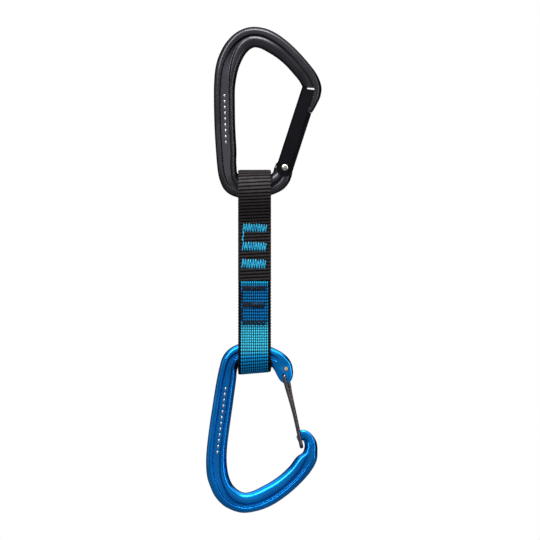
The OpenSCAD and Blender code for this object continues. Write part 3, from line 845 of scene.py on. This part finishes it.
def blue_metal(name):
    t = Surface(name)
    cloud = t.noise(scale=70, detail=3, rough=0.5)
    fine = t.noise(scale=1500, detail=3, rough=0.6)
    brushed = t.noise(scale=500, detail=4, rough=0.6, stretch=(1, 1, 0.12))
    base = t.mix(t.ramp(cloud, MIDDLE), srgb(0, 122, 212), srgb(3, 142, 235))
    # painted shade: darker where the surface turns away
    base = t.mix(t.ramp(t.facing(blend=0.32), span=(0.22, 0.8), to=(0.0, 0.9)),
                 base, srgb(0, 36, 98))
    # painted shade: a darker recess floor
    base = painted_forging_shade(t, base, flange=1.0, wide=0.85, narrow=0.9)
    scratches = t.ramp(t.noise(scale=340, detail=5, rough=0.75, stretch=(1, 1, 3)),
                       span=(0.68, 0.74), to=(0.0, 0.12))
    base = t.mix(scratches, base, srgb(70, 170, 235))
    roughness = t.math("ADD", t.ramp(brushed, BROAD, to=(0.17, 0.27)),
                       t.ramp(fine, BROAD, to=(-0.02, 0.02)))
    normal = t.bump(brushed, strength=0.015)
    # the flattened hinge end catches the light more
    place = t.split(t.coord())
    cheek = t.math("MULTIPLY", t.ramp(place[0], span=(0.008, 0.013)),
                   t.ramp(place[2], span=(-0.196, -0.188)))
    bright = t.mix(t.ramp(cloud, BROAD), srgb(0, 150, 255), srgb(20, 172, 255))
    base = t.mix(cheek, base, bright)
    return t.finish(Base_Color=base, Metallic=0.95, Roughness=roughness, Normal=normal,
                    Coat_Weight=0.2, Coat_Tint=(0.75, 0.92, 1.0), Coat_Roughness=0.12,
                    Specular_Tint=(0.25, 0.75, 1.0))


def steel(name, colour, rough, bump=0.1):
    t = Surface(name)
    grain = t.noise(scale=600, detail=4, rough=0.6)
    cloud = t.noise(scale=120, detail=3, rough=0.5)
    base = t.mix(t.ramp(cloud, MIDDLE), scaled(colour, 0.8), colour)
    roughness = t.ramp(grain, BROAD, to=(rough - 0.06, rough + 0.08))
    bevel = t.node("ShaderNodeBevel", samples=4)
    bevel.inputs[0].default_value = 0.0001
    return t.finish(Base_Color=base, Metallic=1.0, Roughness=roughness,
                    Normal=t.bump(grain, strength=bump, normal=bevel.outputs[0]))


def staked_metal(name, centre):
    """A peened wire end: bright in the middle, with painted shadow round the rim."""
    t = Surface(name)
    grain = t.noise(scale=1500, detail=4, rough=0.6)
    place = t.split(t.coord())
    dx = t.math("SUBTRACT", place[0], centre[0] * MM)
    dz = t.math("SUBTRACT", place[2], centre[1] * MM)
    distance = t.math("SQRT", t.math("ADD", t.math("MULTIPLY", dx, dx),
                                     t.math("MULTIPLY", dz, dz)))
    ragged = t.math("ADD", distance, t.math("MULTIPLY", grain, 0.0002))
    # painted shadow: a dark ring round the rim of the end
    base = t.mix(t.ramp(ragged, span=(0.00105, 0.00135)), srgb(250, 234, 204), srgb(34, 27, 22))
    return t.finish(Base_Color=base, Metallic=1.0, Roughness=t.ramp(grain, BROAD, to=(0.22, 0.4)),
                    Normal=t.bump(grain, strength=0.1))


# ------------------------------------------------------------------ textiles and rubber
class Woven(Surface):
    """Shared pattern of the webbings, in the strip's UVs, which are in mm."""

    def __init__(self, name, rib, fibre_stretch, skew=0.0):
        super().__init__(name)
        self.across, self.along = self.split(self.coord("UV"))[:2]
        rows = self.along
        if skew:
            rows = self.math("SUBTRACT", rows, self.math("MULTIPLY", self.across, skew))
        self.row = self.wave("SINE", self.math("MULTIPLY", rows, math.pi / rib))
        flat = self.node("ShaderNodeCombineXYZ")
        self.feed(flat.inputs[0], self.across)
        self.feed(flat.inputs[1], self.along)
        self.fibre = self.noise(scale=6.0, detail=5, rough=0.7, vector=flat.outputs[0],
                                stretch=fibre_stretch)
        self.blotch = self.noise(scale=0.35, detail=3, rough=0.5, vector=flat.outputs[0])
        # slanting yarns 0.39 mm apart
        slant = self.math("ADD", self.math("MULTIPLY", self.across, math.pi / 0.39),
                          self.math("MULTIPLY", self.along, 1.1))
        self.yarn = self.wave("SINE", slant)

    def wave(self, operation, value):
        return self.math("ABSOLUTE", self.math(operation, value))

    def fibres(self, dark, light):
        return self.mix(self.ramp(self.fibre, BROAD), dark, light)

    def finish_woven(self, base):
        height = self.math("ADD", self.math("MULTIPLY", self.fibre, 0.6),
                           self.math("MULTIPLY", self.yarn, 0.5))
        return self.finish(Base_Color=base, Roughness=self.ramp(self.fibre, BROAD, to=(0.62, 0.82)),
                           Normal=self.bump(height, strength=0.45, distance=0.00010),
                           Sheen_Weight=0.02, Sheen_Roughness=0.4, Specular_IOR_Level=0.03)


def black_webbing(name):
    t = Woven(name, UPPER_RIB, fibre_stretch=(1.2, 9, 1), skew=UPPER_SKEW)
    ribs = t.fibres(srgb(40, 36, 38), srgb(72, 67, 68))
    # painted highlight: the ribs are lighter where the strap turns over the bar
    height = t.split(t.coord())[2]
    painted_bend_highlight = t.math("MULTIPLY", t.ramp(height, span=(-0.0875, -0.0765)),
                   t.ramp(height, span=(-0.0705, -0.0725)))
    ribs = t.mix(painted_bend_highlight, ribs, t.fibres(srgb(62, 59, 60), srgb(112, 107, 107)))
    # the ribs of the weave, with painted shade in the grooves between them
    raised = t.math("MULTIPLY", t.math("POWER", t.row, 1.6),
                    t.ramp(t.yarn, span=(0.0, 1.0), to=(0.65, 1.0)))
    base = t.mix(raised, srgb(3, 2, 3), ribs)
    base = t.mix(t.ramp(t.blotch, span=(0.4, 0.62), to=(0.0, 0.25)), base, srgb(22, 20, 22))
    return t.finish_woven(base)


def blue_webbing(name):
    t = Woven(name, LOWER_RIB, fibre_stretch=(9, 1.2, 1))
    column = t.wave("COSINE", t.math("MULTIPLY", t.across, math.pi / COLUMN))
    # distance from the seam at the middle of the sling, the same on both faces
    from_seam = t.math("MINIMUM", t.along, t.math("SUBTRACT", float(lower_length), t.along))
    cyan_part = t.ramp(from_seam, span=(22.0, 25.0))
    # painted light: the bottom of the loop, round the lower bar, is made brighter
    painted_light_loop = t.ramp(from_seam, span=(40.5, 43.5))
    dash = t.math("MULTIPLY", t.math("POWER", column, 1.8),
                  t.ramp(t.row, span=(0.25, 0.8), to=(0.18, 1.0)))
    ground = t.mix(t.ramp(t.blotch, span=(0.4, 0.6)), srgb(0, 6, 16), srgb(0, 16, 34))
    plain = t.fibres(srgb(2, 100, 176), srgb(30, 156, 232))
    cyan = t.fibres(srgb(8, 156, 204), srgb(92, 232, 255))
    dashes = t.mix(cyan_part, plain, cyan)
    # painted light on the bottom of the loop
    dashes = t.mix(painted_light_loop, dashes, t.fibres(srgb(0, 142, 255), srgb(36, 200, 255)))
    dashes = t.mix(t.ramp(from_seam, span=(2.4, 1.6)), dashes, srgb(40, 196, 250))
    base = t.mix(dash, ground, dashes)
    selvedge = t.ramp(t.math("ABSOLUTE", t.across),
                      span=(WEB_WIDTH / 2 - 1.75, WEB_WIDTH / 2 - 1.35))
    return t.finish_woven(t.mix(selvedge, base, srgb(15, 13, 15)))


def thread(name, dark, light):
    t = Surface(name)
    blotch = t.noise(scale=900, detail=4, rough=0.7)
    twist = t.noise(scale=2600, detail=2, rough=0.5, stretch=(1, 1, 0.35))
    return t.finish(Base_Color=t.mix(t.ramp(blotch, MIDDLE), dark, light),
                    Roughness=t.ramp(twist, BROAD, to=(0.38, 0.6)),
                    Normal=t.bump(twist, strength=0.6, distance=0.00008),
                    Sheen_Weight=0.05, Specular_IOR_Level=0.2)


def rubber(name):
    t = Surface(name)
    grain = t.noise(scale=700, detail=4, rough=0.6)
    return t.finish(Base_Color=t.mix(t.ramp(grain, MIDDLE), srgb(20, 20, 21), srgb(34, 33, 34)),
                    Roughness=t.ramp(grain, BROAD, to=(0.55, 0.75)),
                    Normal=t.bump(grain, strength=0.35, distance=0.00008))


dark_mat = dark_metal("anodised_dark_grey", srgb(92, 91, 97), rough=0.27, with_painted_shade=True)
gate_mat = dark_metal("anodised_black", srgb(35, 34, 39), rough=0.33)
blue_mat = blue_metal("anodised_blue")
rivet_mat = steel("rivet_steel", srgb(226, 220, 212), rough=0.22)
tip_mat = staked_metal("staked_tip", REAR_PIN)
tip_rear_mat = staked_metal("staked_tip_rear", FRONT_PIN)
wire_mat = steel("gate_wire", srgb(114, 106, 110), rough=0.3, bump=0.15)
spring_mat = steel("spring_steel", srgb(180, 182, 186), rough=0.25)
brass_mat = steel("plunger_brass", srgb(205, 178, 120), rough=0.3)
upper_web_mat = black_webbing("webbing_black")
lower_web_mat = blue_webbing("webbing_blue")
blue_thread_mat = thread("thread_blue", srgb(0, 84, 142), srgb(60, 214, 252))
dark_thread_mat = thread("thread_dark", srgb(8, 10, 16), srgb(28, 34, 46))
rubber_mat = rubber("keeper_rubber")
mark_mat = steel("etched_mark", srgb(205, 208, 212), rough=0.5, bump=0.05)

for ob, material in (
        (bolt, dark_mat), (rope, blue_mat), (wire, wire_mat),
        (upper_strip, upper_web_mat), (lower_strip, lower_web_mat),
        (upper_bartacks, blue_thread_mat), (upper_runs, blue_thread_mat),
        (lower_bartacks, dark_thread_mat), (lower_runs, dark_thread_mat),
        (keeper, rubber_mat), (tip, tip_mat), (tip_rear, tip_rear_mat),
        (upper_marks, mark_mat), (lower_marks, mark_mat)):
    ob.data.materials.clear()
    ob.data.materials.append(material)
for node, material in (("bolt_gate", gate_mat), ("bolt_gate_rivet", rivet_mat),
                       ("bolt_gate_plunger", brass_mat), ("bolt_gate_spring", spring_mat)):
    for slot in frame["nodes"][node].material_slots:
        slot.material = material

# ------------------------------------------------------------------ riding and replacing
# object, body it rides on, CAD piece it replaces if any, material slot
for ob, body, replaced, slot in (
        (bolt, "bolt_carabiner", "bolt_carabiner_body", "anodised_dark"),
        (rope, "rope_carabiner", "rope_carabiner_body", "anodised_blue"),
        (wire, "rope_gate", "rope_wire_gate", "wire_steel"),
        (upper_bartacks, "sling_middle", "upper_bartacks", "thread_blue"),
        (upper_runs, "sling_middle", "upper_stitch_line", "thread_blue"),
        (lower_bartacks, "sling_middle", "lower_bartacks", "thread_dark"),
        (lower_runs, "sling_middle", "lower_stitch_line", "thread_dark"),
        (keeper, "sling_bottom", "rope_end_keeper", "keeper_rubber"),
        (tip, "rope_gate", None, "wire_steel"),
        (tip_rear, "rope_gate", None, "wire_steel"),
        (upper_marks, "bolt_carabiner", None, "steel"),
        (lower_marks, "rope_carabiner", None, "steel")):
    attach(ob, body)
    if replaced:
        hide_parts(replaced)
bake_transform(upper_strip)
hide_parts("webbing_upper_loop", "webbing_sewn_centre")
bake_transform(lower_strip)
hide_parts("webbing_lower_loop")


# ------------------------------------------------------------------ stage, light, camera
def coloured(t, kind, colour, strength=None):
    node = t.node(kind)
    t.feed(node.inputs["Color"], colour)
    if strength is not None:
        t.feed(node.inputs["Strength"], strength)
    return node


def build_floor():
    """Grey to the light, pure white to the camera."""
    bpy.ops.mesh.primitive_plane_add(size=3.0, location=(0, 0, -0.34))
    floor = bpy.context.object
    floor.name = "floor"
    material = bpy.data.materials.new("floor")
    t = Nodes(material)
    output = t.node("ShaderNodeOutputMaterial")
    grey = coloured(t, "ShaderNodeBsdfDiffuse", (0.16, 0.16, 0.165))
    white = coloured(t, "ShaderNodeEmission", (1, 1, 1), strength=1.0)
    t.feed(output.inputs[0], t.mix_by_ray(other=grey, camera=white))
    floor.data.materials.append(material)


# brightness from the front (0) to the back (1) of the surroundings
FRONT_TO_BACK = [(0.0, 0.50), (0.06, 0.48), (0.13, 0.03), (0.20, 0.015), (0.235, 0.75),
                 (0.27, 0.015), (0.62, 0.012), (0.88, 0.04), (1.0, 0.2)]


def build_world():
    """Studio reflections in bands, plain white to the camera."""
    world = bpy.data.worlds.new("studio")
    bpy.context.scene.world = world
    t = Nodes(world)
    output = t.node("ShaderNodeOutputWorld")
    x, y, z = t.split(t.coord("Generated"))
    bands = t.node("ShaderNodeValToRGB")
    t.feed(bands.inputs[0], t.ramp(y, span=(-1.0, 1.0)))
    stops = bands.color_ramp.elements
    for stop, (_, value) in zip(stops, (FRONT_TO_BACK[0], FRONT_TO_BACK[-1])):
        stop.color = (value, value, value, 1)
    for position, value in FRONT_TO_BACK[1:-1]:
        stops.new(position).color = (value, value, value, 1)
    upward = t.ramp(z, span=(-1.0, 1.0), to=(0.55, 1.45))
    overhead = t.ramp(z, span=(0.50, 0.78), to=(0.0, 1.25), interpolation_type="SMOOTHSTEP")
    left_panel = t.ramp(x, span=(-0.70, -0.92), to=(0.0, 0.5), interpolation_type="SMOOTHSTEP")
    panels = t.math("MAXIMUM", t.math("MAXIMUM", bands.outputs[0], overhead), left_panel)
    studio = coloured(t, "ShaderNodeBackground", (0.98, 0.99, 1.0),
                      strength=t.math("MULTIPLY", panels, upward))
    white = coloured(t, "ShaderNodeBackground", (1, 1, 1), strength=1.0)
    t.feed(output.inputs[0], t.mix_by_ray(other=studio, camera=white))


LIGHT_TARGET = (0.008, 0, -0.1224)


def area_light(name, location, width, height, power):
    light = bpy.data.lights.new(name, "AREA")
    light.shape = "RECTANGLE"
    light.size = width
    light.size_y = height
    light.energy = power
    ob = bpy.data.objects.new(name, light)
    bpy.context.scene.collection.objects.link(ob)
    ob.location = location
    aim = Vector(LIGHT_TARGET) - Vector(location)
    ob.rotation_euler = aim.to_track_quat("-Z", "Y").to_euler()


def build_camera():
    """Level, looking along +Y at the front."""
    data = bpy.data.cameras.new("camera")
    data.lens = 200
    data.sensor_width = 36
    ob = bpy.data.objects.new("camera", data)
    bpy.context.scene.collection.objects.link(ob)
    ob.location = (0.0081, -1.65, -0.1224)
    ob.rotation_euler = (math.radians(90), 0, 0)
    bpy.context.scene.camera = ob


build_floor()
build_world()
area_light("key_left", (-0.50, -0.50, 0.40), width=0.20, height=0.7, power=4.0)
area_light("fill_right", (0.62, -0.40, 0.0), width=0.10, height=0.7, power=1.0)
area_light("top", (0.05, -0.28, 0.60), width=0.5, height=0.2, power=4.5)
build_camera()
bpy.context.scene.view_settings.view_transform = "Standard"
